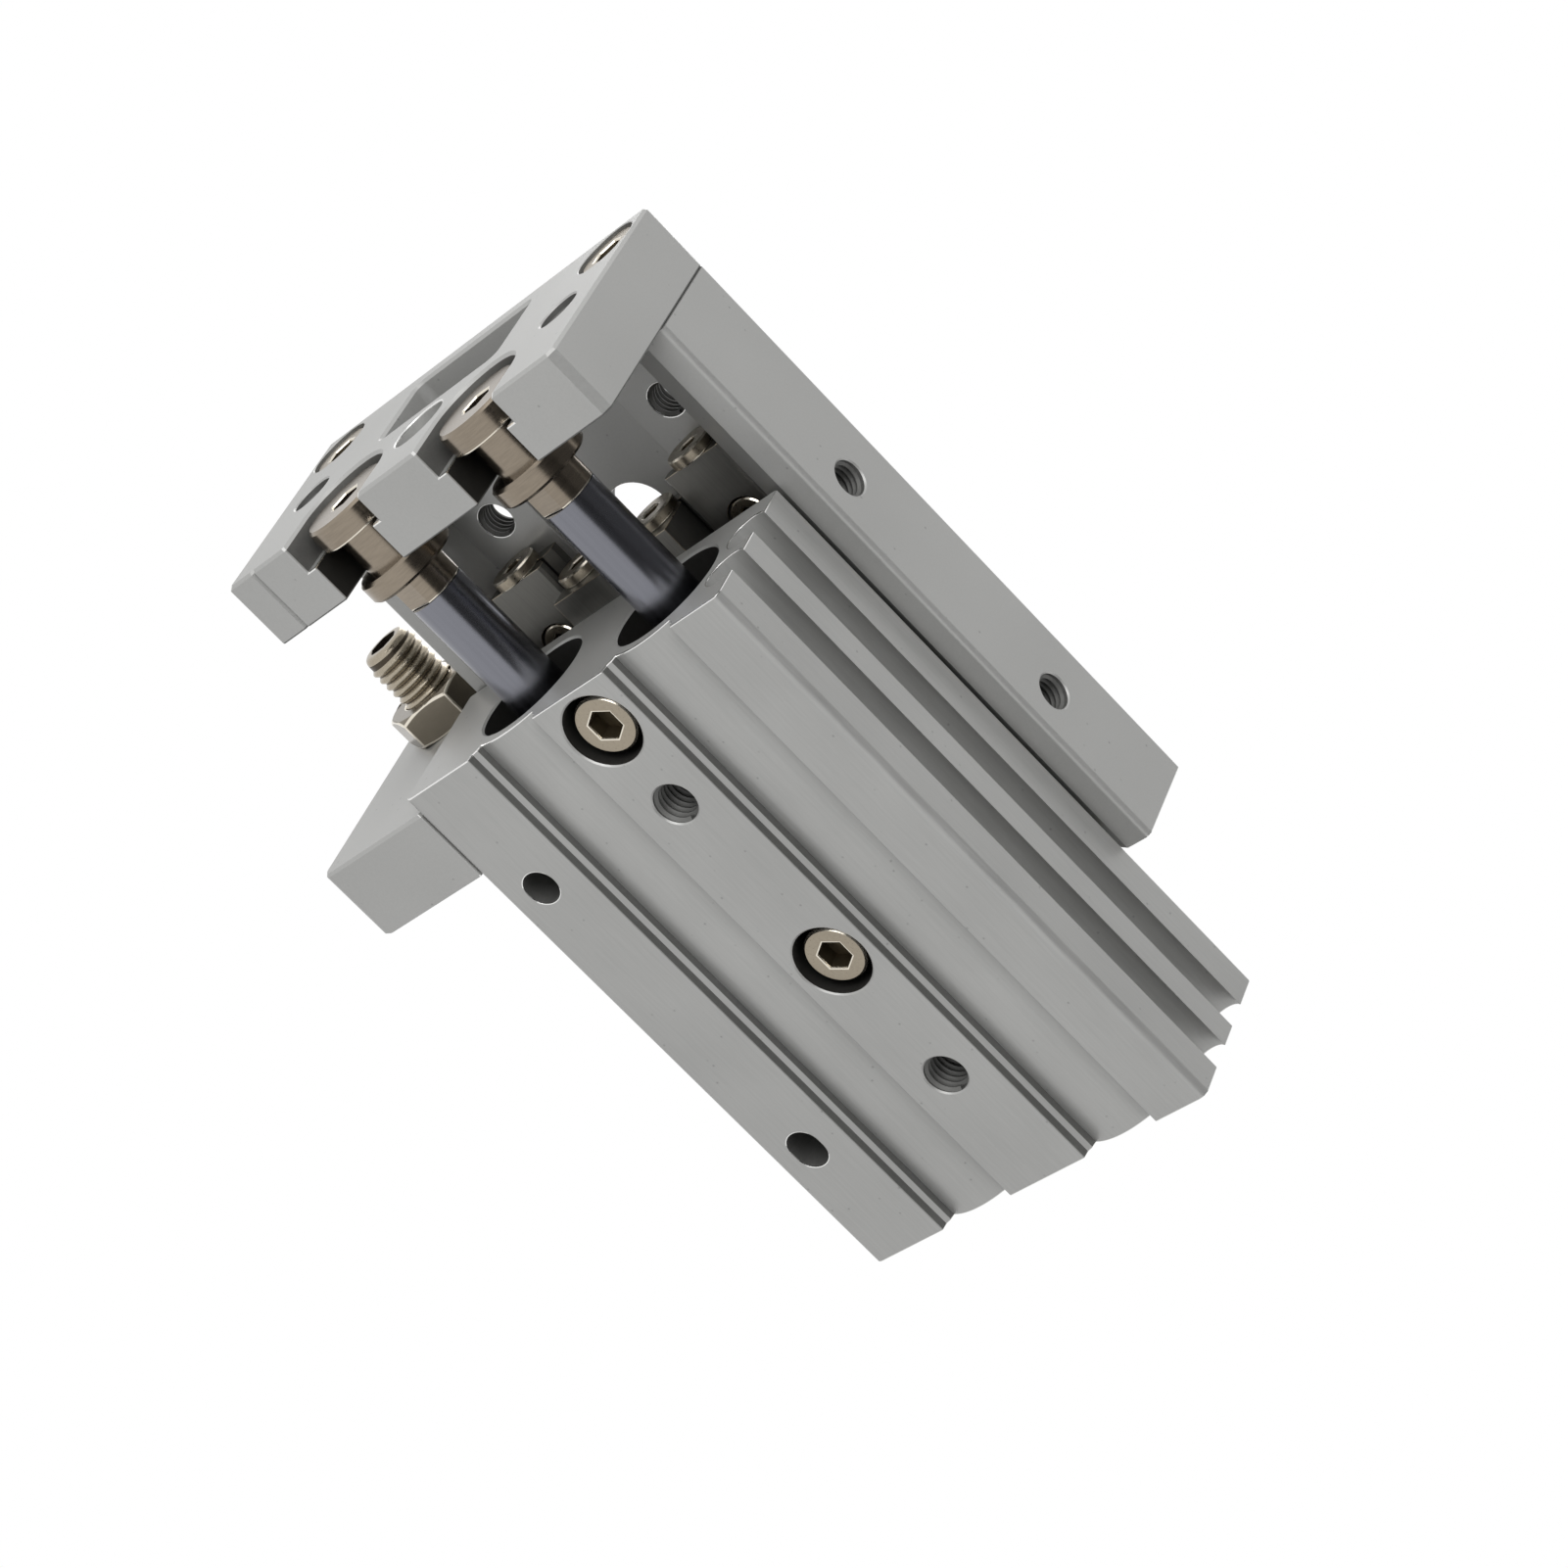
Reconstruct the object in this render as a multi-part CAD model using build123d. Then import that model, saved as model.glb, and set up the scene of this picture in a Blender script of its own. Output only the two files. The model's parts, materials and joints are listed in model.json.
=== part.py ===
from build123d import *
import math
import os

os.makedirs("parts", exist_ok=True)

# Pneumatic slide table with twin rods, millimetres.
# X runs along the stroke with the end plate at +X, Z is up from the mounting face and
# Y = 0 is the plane midway between the two cylinder bores. The origin lies on the
# mounting face midway between the two mounting threads. Left and right are as seen
# facing the end plate: right is +Y. The table is drawn where the picture shows it.

# General clearances
running = 0.05          # radial play of a sliding or turning fit
edge = 0.4              # broken edges
screw_relief = 0.15     # radial play of a screw in its clearance hole

# Body
base_wall = 3.5         # bore to the mounting face
roof_wall = 3.3         # bore to the top
groove_wall = 7.0       # bore to the grooved side
port_wall = 11.0        # bore to the port side
rear_land = 2.2         # bore left behind the rear retaining ring
body_foot_r = 1.2
body_top_r = 0.5
bore_d = 16.0
bore_pitch = 26.0
base_strip_half = 6.3   # half width of each relieved strip under a bore
base_strip_wall = 2.4   # bore to the rounded strip floor
base_strip_depth = 2.4
groove_r = 3.1
groove_mouth = 4.1
groove_heights = (7.6, 15.6)
mouth_step = 0.5        # bore to the wider mouth, radial
mouth_depth = 6.7
mount_pitch = 50.0      # M6 threads and locating holes
locating_in = 6.0       # port side to the locating holes
locating_d = 5.0
locating_slot = 6.0
locating_depth = 5.0
port_depth = 6.0
port_passage = 2.0

# Cylinder inner parts
rod_d = 8.0
rod_spigot_d = 5.0
ring_land = 1.2         # bore left in front of each retaining ring
ring_t = 1.0
ring_groove = 0.7       # retaining ring groove, radial
ring_width = 1.9
ring_gap = 5.0
cover_boss_d = 11.2
cover_boss_len = 1.7
cover_len = 13.1
chamber_gap = 3.5       # air left at either end of the stroke
piston_len = 16.0
holder_len = 3.5
magnet_len = 4.0
magnet_step = 0.7       # bore to the magnet, radial
magnet_bore = 9.0
seal_depth = 2.25       # bore to the floor of the piston groove
seal_groove_len = 3.2
seal_land = 2.4
oring_depth = 1.5       # bore to the floor of the packing grooves
oring_groove_len = 2.2
oring_len = 1.8
rod_seal_d = 11.6
rod_seal_len = 3.0
rod_seal_back = 3.0     # cover rear face to the rod seal groove
cap_len = 10.8
swage_d = 7.6

# Stroke
stroke_in = 23.5
stroke_out = 6.5
plate_gap = 1.0         # end plate to body with the table home

# Guide
block_half = 10.85
block_h = 10.4
block_front = 3.8       # guide block ahead of the body front
block_short = 1.2       # guide block shorter than the body
block_screw_inset = 6.4  # body front to the first screw
block_screw_pitch = 41.8
block_thread_depth = 8.3
block_cbore_d = 9.5
block_cbore_depth = 5.4
track_drop = 2.7        # guide block top down to the roller tracks
guide_gap = 1.35        # guide block side to rail
roller_d = 3.0
roller_len = 2.8
roller_pitch = 4.5
roller_count = 10
cage_t = 0.7
cage_half_h = 2.75
cage_margin = 2.75      # strip beyond the last roller
cage_set_back = 32.8    # guide block front to the cage middle
v_relief = 0.7
block_end_screw_in = 3.7
block_end_screw_rise = 5.0
end_head_h = 1.6        # flat heads of the screws in the guide ends
end_head_gap = 0.1      # rail screw heads to the rail seats
rail_w = 10.1
rail_h = 5.9
rail_set_back = 16.8    # table front to the rail
rail_len = 69.7
rail_screw_inset = 10.2
rail_screw_pitch = 15.0
rail_screw_count = 4
rail_screw_in = 4.1     # outer side of the rail to its screws
rail_screw_bite = 3.2

# Table
groove_side_step = 3.8  # table side beyond the grooved side of the body
table_roof = 3.2        # over the middle channel
table_over = 0.6        # table longer than the body
table_side_gap = 0.1    # rail to the wall of its seat
seat_rise = 0.3         # guide block top up to the rail seats
channel_rise = 1.8      # guide block top up to the middle channel
channel_gap = 0.15      # guide block side to the channel
skirt_gap = 0.8         # body top to the table skirts
skirt_foot = 4.0
skirt_r = 0.8
top_thread_y = 16.85
top_thread_front = 10.1  # table front to the first top thread
top_thread_pitch = 38.0
top_thread_rows = 3
access_d = 9.0
side_thread_inset = 30.7
side_thread_rise = 6.4
side_thread_left = 1.4  # wall left behind the side threads

# End plate
plate_t = 10.0
plate_bottom = 4.9
plate_r = 0.6
plate_foot = 1.0        # bevel along the foot of the grooved side
plate_scribe = 0.5      # shallow line along the foot of the port side
plate_scribe_in = 4.9
window_play = 0.75      # guide block side to the window
window_drop = 1.0       # window sill below the body top
window_rise = 1.9       # window lintel above the guide block
window_r = 1.5
slot_head_r = 7.2
slot_head_depth = 4.3
slot_neck_half = 5.75
pilot_d = 8.0
pilot_depth = 3.0
pilot_z = 16.2
plate_thread_in = 7.3   # table side to the M6 thread
plate_thread_rise = 9.1  # bores up to the M6 thread
plate_screw_in = 5.15   # table side and top to the screw
plate_screw_bite = 11.0

# Rod ends
head_d = 12.8
head_t = 3.4
neck_d = 8.8
flange_d = 13.0
flange_t = 3.0
flange_play = 0.2
flat_len = 4.0
flat_af = 6.6
flat_turn = 71.0        # lean of the spanner flats
stud_d = 4.0
stud_len = 7.3
stud_hole = 8.0

# Stroke adjuster
bracket_front = 2.5     # bracket set back from the body front
bracket_len = 11.5
bracket_width = 20.6
bracket_bottom = 0.2
bracket_drop = 1.7      # table top down to the bracket top
bracket_r = 2.0
bracket_screw_z = (6.0, 17.0)
bracket_screw_bite = 8.5
adjust_out = 9.8        # port side of the body to the adjusting screw
adjust_rise = 6.2       # body top to the adjusting screw
adjust_d = 8.0
adjust_reach = 13.5     # screw ahead of the bracket
adjust_tail = 11.1      # screw behind the bracket
adjust_socket = 5.0
nut_af = 13.0
nut_t = 5.0
nut_turn = 20.0         # how the nut stands once tight
bumper_t = 2.0
bumper_d = 6.6
bumper_stem_d = 3.0
bumper_stem = 4.0
bumper_gap = 0.1
stop_play = 0.2         # left at full extension
stop_len = 20.8
stop_step = 4.1         # stop block narrower than the bracket
stop_rise = 1.4         # skirt foot to the stop block
stop_drop = 2.2         # table top to the stop block
stop_screw_inset = 5.6
stop_screw_rise = 7.4   # skirt foot to the screws
stop_screw_bite = 6.0

# Metric sizes: thread diameter, head diameter, head height, hexagon socket
M3 = dict(d=3.0, head=5.5, high=3.0, af=2.5)
M4 = dict(d=4.0, head=7.0, high=3.0, af=2.5)
M5 = dict(d=5.0, head=8.5, high=5.0, af=4.0)
M6 = dict(d=6.0)
head_relief = 0.25      # radial play round a sunk screw head
head_sink = 0.4         # head top below the surface
base_head_sink = 1.2
base_cbore_d = 10.6
thread_lip = 0.2        # countersink round a tapped hole

# Places that follow from the sizes above
bore_z = base_wall + bore_d / 2
body_h = bore_z + bore_d / 2 + roof_wall
body_right = bore_pitch / 2 + bore_d / 2 + groove_wall
body_left = bore_pitch / 2 + bore_d / 2 + port_wall
cover_room = mouth_depth + ring_land + ring_t + cover_len
piston_room = chamber_gap + stroke_out + piston_len + stroke_in + chamber_gap
body_len = cover_room + piston_room + cap_len + ring_t + rear_land
front = body_len / 2
rear = -body_len / 2
base_strip_r = bore_d / 2 + base_strip_wall
mouth_d = bore_d + 2 * mouth_step
ring_groove_d = bore_d + 2 * ring_groove
magnet_d = bore_d - 2 * magnet_step
seal_groove_d = bore_d - 2 * seal_depth
oring_groove_d = bore_d - 2 * oring_depth
table_half = body_right + groove_side_step
table_len = body_len + table_over
locating_y = -body_left + locating_in
table_front = front + plate_gap + stroke_in
table_rear = table_front - table_len
plate_front = table_front + plate_t
block_x1 = front + block_front
block_x0 = block_x1 - body_len + block_short
block_top = body_h + block_h
block_screw_x = (front - block_screw_inset, front - block_screw_inset - block_screw_pitch)
guide_z = block_top - track_drop
side_ceiling = block_top + seat_rise
centre_ceiling = block_top + channel_rise
centre_half = block_half + channel_gap
table_top = centre_ceiling + table_roof
skirt_bottom = body_h + skirt_gap
rail_inner = block_half + guide_gap
rail_outer = rail_inner + rail_w
rail_bottom = side_ceiling - rail_h
rail_front = table_front - rail_set_back
rail_rear = rail_front - rail_len
rail_screw_x = [rail_front - rail_screw_inset - i * rail_screw_pitch for i in range(rail_screw_count)]
rail_screw_y = rail_outer - rail_screw_in
cage_x = block_x1 - cage_set_back
roller_y = block_half + guide_gap / 2
v_reach = (roller_d / 2 + running) * math.sqrt(2)
end_screw_block = (block_half - block_end_screw_in, body_h + block_end_screw_rise)
end_screw_rail = (rail_inner + rail_w / 2, side_ceiling - end_head_gap - M4["head"] / 2)
side_thread_x = (table_front - side_thread_inset, table_front - side_thread_inset - top_thread_pitch)
side_thread_z = skirt_bottom + side_thread_rise
side_thread_end = rail_outer + table_side_gap + side_thread_left
window_half = block_half + window_play
window_bottom = body_h - window_drop
window_top = block_top + window_rise
plate_thread = (table_half - plate_thread_in, bore_z + plate_thread_rise)
plate_screw = (table_half - plate_screw_in, table_top - plate_screw_in)
front_ring_x = front - mouth_depth - ring_land - ring_t
cover_x1 = front_ring_x
cover_x0 = cover_x1 - cover_len
cover_oring_x = cover_x1 - 0.3 * cover_len
piston_x1 = cover_x0 - chamber_gap - stroke_out
piston_x0 = piston_x1 - piston_len
cap_x1 = piston_x0 - stroke_in - chamber_gap
cap_x0 = cap_x1 - cap_len
cap_oring_x = (cap_x0 + cap_x1) / 2
flange_x1 = table_front - flange_play
flange_x0 = flange_x1 - flange_t
rod_x1 = flange_x0 - flat_len
step_x = plate_front - slot_head_depth
port_x = (cover_x0 - chamber_gap / 2, cap_x1 + port_passage / 2 + 0.3)
bracket_x1 = front - bracket_front
bracket_x0 = bracket_x1 - bracket_len
bracket_x = (bracket_x0 + bracket_x1) / 2
bracket_y = -body_left - bracket_width
bracket_top = table_top - bracket_drop
adjust_y = -body_left - adjust_out
adjust_z = body_h + adjust_rise
adjust_front = bracket_x1 + adjust_reach
screw_rear = bracket_x0 - adjust_tail
stop_x1 = screw_rear - bumper_gap - bumper_t - stop_play - stroke_out
stop_width = bracket_width - stop_step
stop_bottom = skirt_bottom + stop_rise
stop_top = table_top - stop_drop
stop_screw_x = (stop_x1 - stop_screw_inset, stop_x1 - stop_len + stop_screw_inset)
stop_screw_z = skirt_bottom + stop_screw_rise


def cyl(axis, d, u, v, a, b):
    """Round bar along an axis: its other two coordinates, then its two ends."""
    bar = Cylinder(d / 2, abs(b - a), align=(Align.CENTER, Align.CENTER, Align.MIN))
    low = min(a, b)
    if axis == "x":
        return Pos(low, u, v) * Rot(0, 90, 0) * bar
    if axis == "y":
        return Pos(u, low, v) * Rot(-90, 0, 0) * bar
    return Pos(u, v, low) * bar


def block(x0, x1, y0, y1, z0, z1):
    """Plain block between two corners, used for cuts."""
    return Pos((x0 + x1) / 2, (y0 + y1) / 2, (z0 + z1) / 2) * Box(abs(x1 - x0), abs(y1 - y0), abs(z1 - z0))


def turned(points, y, z):
    """Turned shape from (x, radius) points about a line along X."""
    return Pos(0, y, z) * revolve(make_face(Polyline(*points, close=True)), Axis.X)


def prism_x(sketch, x0, x1):
    """Section in the YZ plane pushed from x0 to x1."""
    return extrude(Plane.YZ.offset(x0) * sketch, x1 - x0)


def hexagon(af):
    """Hexagon given across its flats."""
    return RegularPolygon(af / math.sqrt(3), 6)


def cap_screw(size, length, high=None):
    """Socket head screw, underside of the head at the origin, head towards +Z."""
    high = high or size["high"]
    r = size["head"] / 2
    shank = size["d"] / 2
    tip = 0.12 * size["d"]
    outline = [(0, -length), (shank - tip, -length), (shank, -length + tip), (shank, 0), (r, 0),
               (r, high - tip / 2), (r - tip / 2, high), (0, high)]
    turned_screw = revolve(Plane.XZ * make_face(Polyline(*outline, close=True)), Axis.Z)
    socket = Pos(0, 0, high - 0.55 * high) * extrude(hexagon(size["af"]), high)
    return turned_screw - socket


def towards(axis, x, y, z):
    """Placement that turns a screw's +Z head direction towards an axis."""
    turn = {"+z": (0, 0, 0), "-z": (180, 0, 0), "+x": (0, 90, 0), "-x": (0, -90, 0),
            "-y": (90, 0, 0), "+y": (-90, 0, 0)}[axis]
    return Pos(x, y, z) * Rot(*turn)


def write(name, shapes):
    """One file for a sub-component; like pieces share it as separate solids."""
    shape = shapes[0] if len(shapes) == 1 else Compound(children=shapes)
    export_step(shape, f"parts/{name}.step")


def body_section():
    """Extruded outline: relieved strips under the bores and round switch grooves."""
    width = body_left + body_right
    outline = Pos((body_right - body_left) / 2, body_h / 2) * Rectangle(width, body_h)
    feet = outline.vertices().group_by(Axis.Y)[0]
    outline = fillet(feet, body_foot_r)
    tops = outline.vertices().group_by(Axis.Y)[-1]
    outline = fillet(tops, body_top_r)
    inner = math.sqrt(base_strip_r ** 2 - (bore_z - base_strip_depth) ** 2)
    lean = (base_strip_half - inner) / base_strip_depth
    for side in (-1, 1):
        c = side * bore_pitch / 2
        low = base_strip_half + lean
        strip = make_face(Polyline((c - low, -1), (c + low, -1), (c + inner, base_strip_depth),
                                   (c - inner, base_strip_depth), close=True))
        outline -= strip - Pos(c, bore_z) * Circle(base_strip_r)
    inset = math.sqrt(groove_r ** 2 - (groove_mouth / 2) ** 2)
    for z in groove_heights:
        outline -= Pos(body_right - inset, z) * Circle(groove_r)
    return outline


def bore_cut(y):
    """Everything turned out of the body for one cylinder."""
    r = bore_d / 2
    ring_r = ring_groove_d / 2
    c = 2 * edge / 3
    return turned([(front + 1, 0), (front + 1, mouth_d / 2 + c + 1),
                   (front - c, mouth_d / 2), (front - mouth_depth, mouth_d / 2),
                   (front - mouth_depth, r), (front_ring_x + ring_t, r), (front_ring_x + ring_t, ring_r),
                   (front_ring_x, ring_r), (front_ring_x, r), (cap_x0, r), (cap_x0, ring_r),
                   (cap_x0 - ring_t, ring_r), (cap_x0 - ring_t, r), (rear + c, r),
                   (rear - 1, r + c + 1), (rear - 1, 0)], y, bore_z)


def countersunk(axis, d, u, v, a, b, lip):
    """Drilled hole from a to b with a broken edge at a."""
    out = 1 if a > b else -1
    r = d / 2
    reach = r + lip + 1
    pts = [(a + out, 0), (a + out, reach), (a - out * lip, r), (b, r), (b, 0)]
    hole = revolve(make_face(Polyline(*pts, close=True)), Axis.X)
    if axis == "x":
        return Pos(0, u, v) * hole
    if axis == "y":
        return Pos(u, 0, v) * Rot(0, 0, 90) * hole
    return Pos(u, v, 0) * Rot(0, -90, 0) * hole


def make_body():
    shape = prism_x(body_section(), rear, front)
    for side in (-1, 1):
        shape -= bore_cut(side * bore_pitch / 2)
    for x in (-mount_pitch / 2, mount_pitch / 2):
        shape -= countersunk("z", M6["d"], x, 0, 0, body_h + 1, thread_lip)
    head_top = base_head_sink + M5["high"]
    for x in block_screw_x:
        shape -= countersunk("z", base_cbore_d, x, 0, 0, head_top, edge / 2)
        shape -= cyl("z", M5["d"] + 2 * screw_relief, x, 0, 0, body_h + 1)
    shape -= cyl("z", locating_d, mount_pitch / 2, locating_y, 0, locating_depth)
    slot = Pos(-mount_pitch / 2, locating_y) * SlotOverall(locating_slot, locating_d)
    shape -= extrude(slot, locating_depth)
    for x in port_x:
        shape -= cyl("y", M5["d"], x, bore_z, -body_left, -body_left + port_depth)
        shape -= cyl("y", port_passage, x, bore_z, -body_left, bore_pitch / 2 - bore_d / 2 + 1)
    for z in bracket_screw_z:
        shape -= cyl("y", M5["d"], bracket_x, z, -body_left - 1, -body_left + bracket_screw_bite)
    return shape


def v_notch(apex, mouth, z):
    """Section of one right-angled track with a relief slit at its root."""
    out = 1 if mouth > apex else -1
    reach = abs(mouth - apex) + 1
    vee = make_face(Polyline((apex, z), (apex + out * reach, z + reach), (apex + out * reach, z - reach),
                             close=True))
    return vee + Pos(apex, z) * Rectangle(2 * v_relief, v_relief)


def make_guide_block():
    outline = Pos(0, body_h + block_h / 2) * Rectangle(2 * block_half, block_h)
    outline = chamfer(outline.vertices().group_by(Axis.Y)[-1], edge)
    for side in (-1, 1):
        outline -= v_notch(side * (roller_y - v_reach), side * block_half, guide_z)
    shape = prism_x(outline, block_x0, block_x1)
    for x in (-mount_pitch / 2, mount_pitch / 2):
        shape -= cyl("z", M5["d"] + 2 * screw_relief, x, 0, body_h, block_top)
        shape -= cyl("z", block_cbore_d, x, 0, block_top - block_cbore_depth, block_top)
    for x in block_screw_x:
        shape -= cyl("z", M5["d"], x, 0, body_h, body_h + block_thread_depth)
    y, z = end_screw_block
    for side in (-1, 1):
        for x, inward in ((block_x1, -1), (block_x0, 1)):
            shape -= cyl("x", M4["d"], side * y, z, x, x + inward * M4["d"] * 1.5)
    return shape


def make_table():
    half = [(table_half, skirt_bottom), (table_half - skirt_foot, skirt_bottom),
            (rail_outer + table_side_gap, rail_bottom), (rail_outer + table_side_gap, side_ceiling),
            (centre_half, side_ceiling), (centre_half, centre_ceiling)]
    mirror_half = [(-y, z) for y, z in reversed(half)]
    corners = half + mirror_half + [(-table_half, table_top), (table_half, table_top)]
    outline = make_face(Polyline(*corners, close=True))
    feet = [v for v in outline.vertices() if abs(v.X) > table_half - 1 and v.Y < skirt_bottom + 1]
    outline = fillet(feet, skirt_r)
    outline = chamfer(outline.vertices().group_by(Axis.Y)[-1], edge)
    shape = prism_x(outline, table_rear, table_front)
    for x in (-mount_pitch / 2, mount_pitch / 2):
        shape -= countersunk("z", access_d, x + stroke_in, 0, table_top, centre_ceiling - 1, edge / 2)
    for row in range(top_thread_rows):
        x = table_front - top_thread_front - row * top_thread_pitch
        for side in (-1, 1):
            y = side * top_thread_y
            shape -= countersunk("z", M5["d"], x, y, table_top, side_ceiling - 1, thread_lip)
    for x in side_thread_x:
        shape -= countersunk("y", M5["d"], x, side_thread_z, table_half, side_thread_end, thread_lip)
    for x in stop_screw_x:
        shape -= cyl("y", M4["d"], x, stop_screw_z, -table_half - 1, -table_half + stop_screw_bite)
    for side in (-1, 1):
        y, z = plate_screw
        shape -= cyl("x", M5["d"], side * y, z, table_front, table_front - plate_screw_bite)
        for x in rail_screw_x:
            shape -= cyl("z", M3["d"], x, side * rail_screw_y, side_ceiling, side_ceiling + rail_screw_bite)
    return shape


def make_rail(side):
    width = rail_outer - rail_inner
    outline = Pos(side * (rail_inner + width / 2), (rail_bottom + side_ceiling) / 2) * Rectangle(
        width, side_ceiling - rail_bottom)
    outline = chamfer(outline.vertices().group_by(Axis.Y)[0], edge)
    outline -= v_notch(side * (roller_y + v_reach), side * rail_inner, guide_z)
    shape = prism_x(outline, rail_rear, rail_front)
    for x in rail_screw_x:
        y = side * rail_screw_y
        shape -= cyl("z", M3["head"] + 2 * head_relief, x, y, rail_bottom, rail_bottom + M3["high"])
        shape -= cyl("z", M3["d"] + 2 * screw_relief, x, y, rail_bottom, side_ceiling)
    y, z = end_screw_rail
    for x, inward in ((rail_front, -1), (rail_rear, 1)):
        shape -= cyl("x", M4["d"], side * y, z, x, x + inward * M4["d"] * 1.5)
    return shape


def roller_places():
    """Middle and tilt of every roller: neighbours lean opposite ways."""
    first = cage_x - roller_pitch * (roller_count - 1) / 2
    return [(first + i * roller_pitch, 45 if i % 2 else -45) for i in range(roller_count)]


def make_cage(side):
    half_len = roller_pitch * (roller_count - 1) / 2 + cage_margin
    outline = RectangleRounded(2 * half_len, 2 * cage_half_h, edge)
    strip = Pos(cage_x, side * roller_y, guide_z) * Rot(90, 0, 0) * extrude(outline, cage_t / 2, both=True)
    for x, tilt in roller_places():
        strip -= Pos(x, side * roller_y, guide_z) * Rot(tilt, 0, 0) * Cylinder(roller_d / 2, roller_len * 2)
    return strip


def make_rollers(side):
    shapes = []
    for x, tilt in roller_places():
        roller = chamfer(Cylinder(roller_d / 2, roller_len).edges().filter_by(GeomType.CIRCLE), edge / 2)
        shapes.append(Pos(x, side * roller_y, guide_z) * Rot(tilt, 0, 0) * roller)
    return shapes


def arch(half, y):
    """Arched slot open at the bottom of the end plate."""
    low = plate_bottom - 2
    return Pos(y, bore_z) * Circle(half) + Pos(y, (bore_z + low) / 2) * Rectangle(2 * half, bore_z - low)


def make_end_plate():
    high = table_top - plate_bottom
    outline = Pos(0, plate_bottom + high / 2) * Rectangle(2 * table_half, high)
    outline = fillet(outline.vertices().group_by(Axis.Y)[-1], plate_r)
    outline = chamfer(outline.vertices().group_by(Axis.Y)[0].sort_by(Axis.X)[-1:], plate_foot)
    line = Pos(-table_half + plate_scribe_in, plate_bottom) * Rot(0, 0, 45)
    outline -= line * Rectangle(plate_scribe, plate_scribe)
    window = Pos(0, (window_bottom + window_top) / 2) * RectangleRounded(
        2 * window_half, window_top - window_bottom, window_r)
    outline -= window
    for side in (-1, 1):
        outline -= arch(slot_neck_half, side * bore_pitch / 2)
    shape = prism_x(outline, table_front, plate_front)
    for side in (-1, 1):
        shape -= prism_x(arch(slot_head_r, side * bore_pitch / 2), step_x, plate_front + 1)
    shape = chamfer(shape.faces().sort_by(Axis.X)[-1].edges(), edge)
    shape -= cyl("x", pilot_d, 0, pilot_z, plate_front, plate_front - pilot_depth)
    for side in (-1, 1):
        y, z = plate_thread
        shape -= countersunk("x", M6["d"], side * y, z, plate_front, table_front, thread_lip)
        y, z = plate_screw
        sunk = M5["high"] + head_sink
        shape -= countersunk("x", M5["head"] + 2 * head_relief, side * y, z, plate_front,
                             plate_front - sunk, edge / 4)
        shape -= cyl("x", M5["d"] + 2 * screw_relief, side * y, z, plate_front, table_front)
    return shape


def make_rod(y):
    r = rod_d / 2
    s = rod_spigot_d / 2
    flare = swage_d / 2 - s
    shape = turned([(rod_x1, 0), (rod_x1, r), (piston_x1, r), (piston_x1, s),
                    (piston_x0 + flare, s), (piston_x0, swage_d / 2), (piston_x0, 0)], y, bore_z)
    return shape - cyl("x", stud_d, y, bore_z, rod_x1, rod_x1 - stud_hole)


def make_rod_end(y):
    r = head_d / 2
    f = flange_d / 2
    s = stud_d / 2
    c = edge
    head_x1 = step_x + head_t
    shape = turned([(head_x1, 0), (head_x1, r - c), (head_x1 - c, r), (step_x, r), (step_x, neck_d / 2),
                    (flange_x1, neck_d / 2), (flange_x1, f - c), (flange_x1 - c, f), (flange_x0 + c, f),
                    (flange_x0, f - c), (flange_x0, rod_d / 2), (rod_x1, rod_d / 2), (rod_x1, s),
                    (rod_x1 - stud_len + c, s), (rod_x1 - stud_len, s - c), (rod_x1 - stud_len, 0)], 0, 0)
    for out in (-1, 1):
        flat = block(rod_x1, flange_x0, out * flat_af / 2, out * rod_d, -rod_d, rod_d)
        shape -= Rot(flat_turn, 0, 0) * flat
    shape -= prism_x(hexagon(M5["af"]), head_x1 - head_t, head_x1 + 1)
    return Pos(0, y, bore_z) * shape


def make_piston(y):
    """Rear half with the seal groove and the nose that carries the magnet."""
    r = bore_d / 2 - running
    s = rod_spigot_d / 2
    nose_x1 = piston_x1 - holder_len
    step = nose_x1 - magnet_len
    g1 = step - seal_land
    g0 = g1 - seal_groove_len
    flare = swage_d / 2 - s
    return turned([(nose_x1, s), (nose_x1, magnet_bore / 2), (step, magnet_bore / 2), (step, r), (g1, r),
                   (g1, seal_groove_d / 2), (g0, seal_groove_d / 2), (g0, r), (piston_x0 + edge, r),
                   (piston_x0, r - edge), (piston_x0, swage_d / 2), (piston_x0 + flare, s)], y, bore_z)


def make_magnet_holder(y):
    r = bore_d / 2 - running
    s = rod_spigot_d / 2
    x0 = piston_x1 - holder_len
    return turned([(piston_x1, s), (piston_x1, r - edge), (piston_x1 - edge, r), (x0, r), (x0, s)], y, bore_z)


def make_magnet(y):
    x1 = piston_x1 - holder_len
    x0 = x1 - magnet_len
    return turned([(x1, magnet_bore / 2), (x1, magnet_d / 2), (x0, magnet_d / 2), (x0, magnet_bore / 2)],
                  y, bore_z)


def make_piston_seal(y):
    """Double lip ring seated on the groove floor."""
    r = bore_d / 2 - running
    floor = seal_groove_d / 2
    middle = piston_x1 - holder_len - magnet_len - seal_land - seal_groove_len / 2
    h = seal_groove_len / 2
    waist = (r + floor) / 2 + edge
    return turned([(middle + h, floor), (middle + h, r - edge), (middle + h - edge, r),
                   (middle + edge, r), (middle, waist), (middle - edge, r), (middle - h + edge, r),
                   (middle - h, r - edge), (middle - h, floor)], y, bore_z)


def packing(y, x, r0, r1, length):
    """Squeezed rubber ring with rounded sides between two radii."""
    h = length / 2
    c = 0.3 * min(length, r1 - r0)
    return turned([(x + h, r0 + c), (x + h, r1 - c), (x + h - c, r1), (x - h + c, r1), (x - h, r1 - c),
                   (x - h, r0 + c), (x - h + c, r0), (x + h - c, r0)], y, bore_z)


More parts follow.
